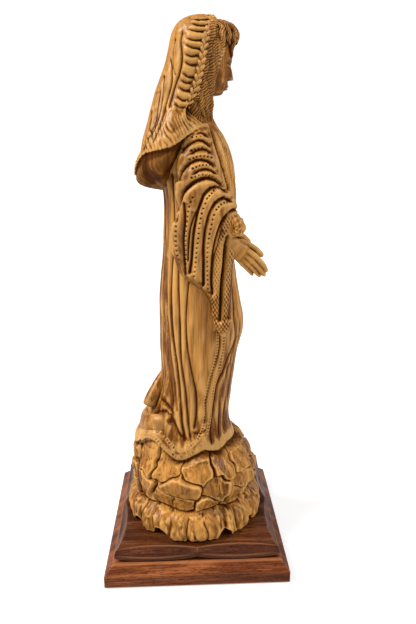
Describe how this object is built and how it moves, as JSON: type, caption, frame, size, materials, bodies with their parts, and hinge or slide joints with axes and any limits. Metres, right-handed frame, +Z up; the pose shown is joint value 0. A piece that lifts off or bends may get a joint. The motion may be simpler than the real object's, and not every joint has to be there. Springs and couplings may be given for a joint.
{
  "type": "devotional madonna statue",
  "caption": "Carved olive-wood madonna with veil, draped robe and open hands, standing on a carved rock pedestal and a stepped square mahogany plinth.",
  "frame": {"origin": "middle of the square footprint, on the surface that the felt pads rest on", "axes": "+Z up, the figure faces -Y, its right hand is on the -X side"},
  "size_m": [0.173, 0.173, 0.5015],
  "materials": {
    "olive_wood": "carved olive wood with dark streaks, satin oil and wax",
    "mahogany": "red-brown mahogany, satin varnish",
    "dowel_wood": "raw beech",
    "screw_steel": "zinc-plated steel",
    "felt": "pressed wool felt"
  },
  "bodies": {
    "root": {"lower_plinth": "mahogany", "upper_plinth": "mahogany", "rock_pedestal": "olive_wood", "robed_figure": "olive_wood", "left_hand": "olive_wood", "right_hand": "olive_wood", "left_wrist_dowel": "dowel_wood", "right_wrist_dowel": "dowel_wood", "figure_dowel_front": "dowel_wood", "figure_dowel_rear": "dowel_wood", "plinth_screw_1": "screw_steel", "plinth_screw_2": "screw_steel", "plinth_screw_3": "screw_steel", "plinth_screw_4": "screw_steel", "pedestal_screw_1": "screw_steel", "pedestal_screw_2": "screw_steel", "felt_pad_1": "felt", "felt_pad_2": "felt", "felt_pad_3": "felt", "felt_pad_4": "felt"}
  },
  "joints": []
}
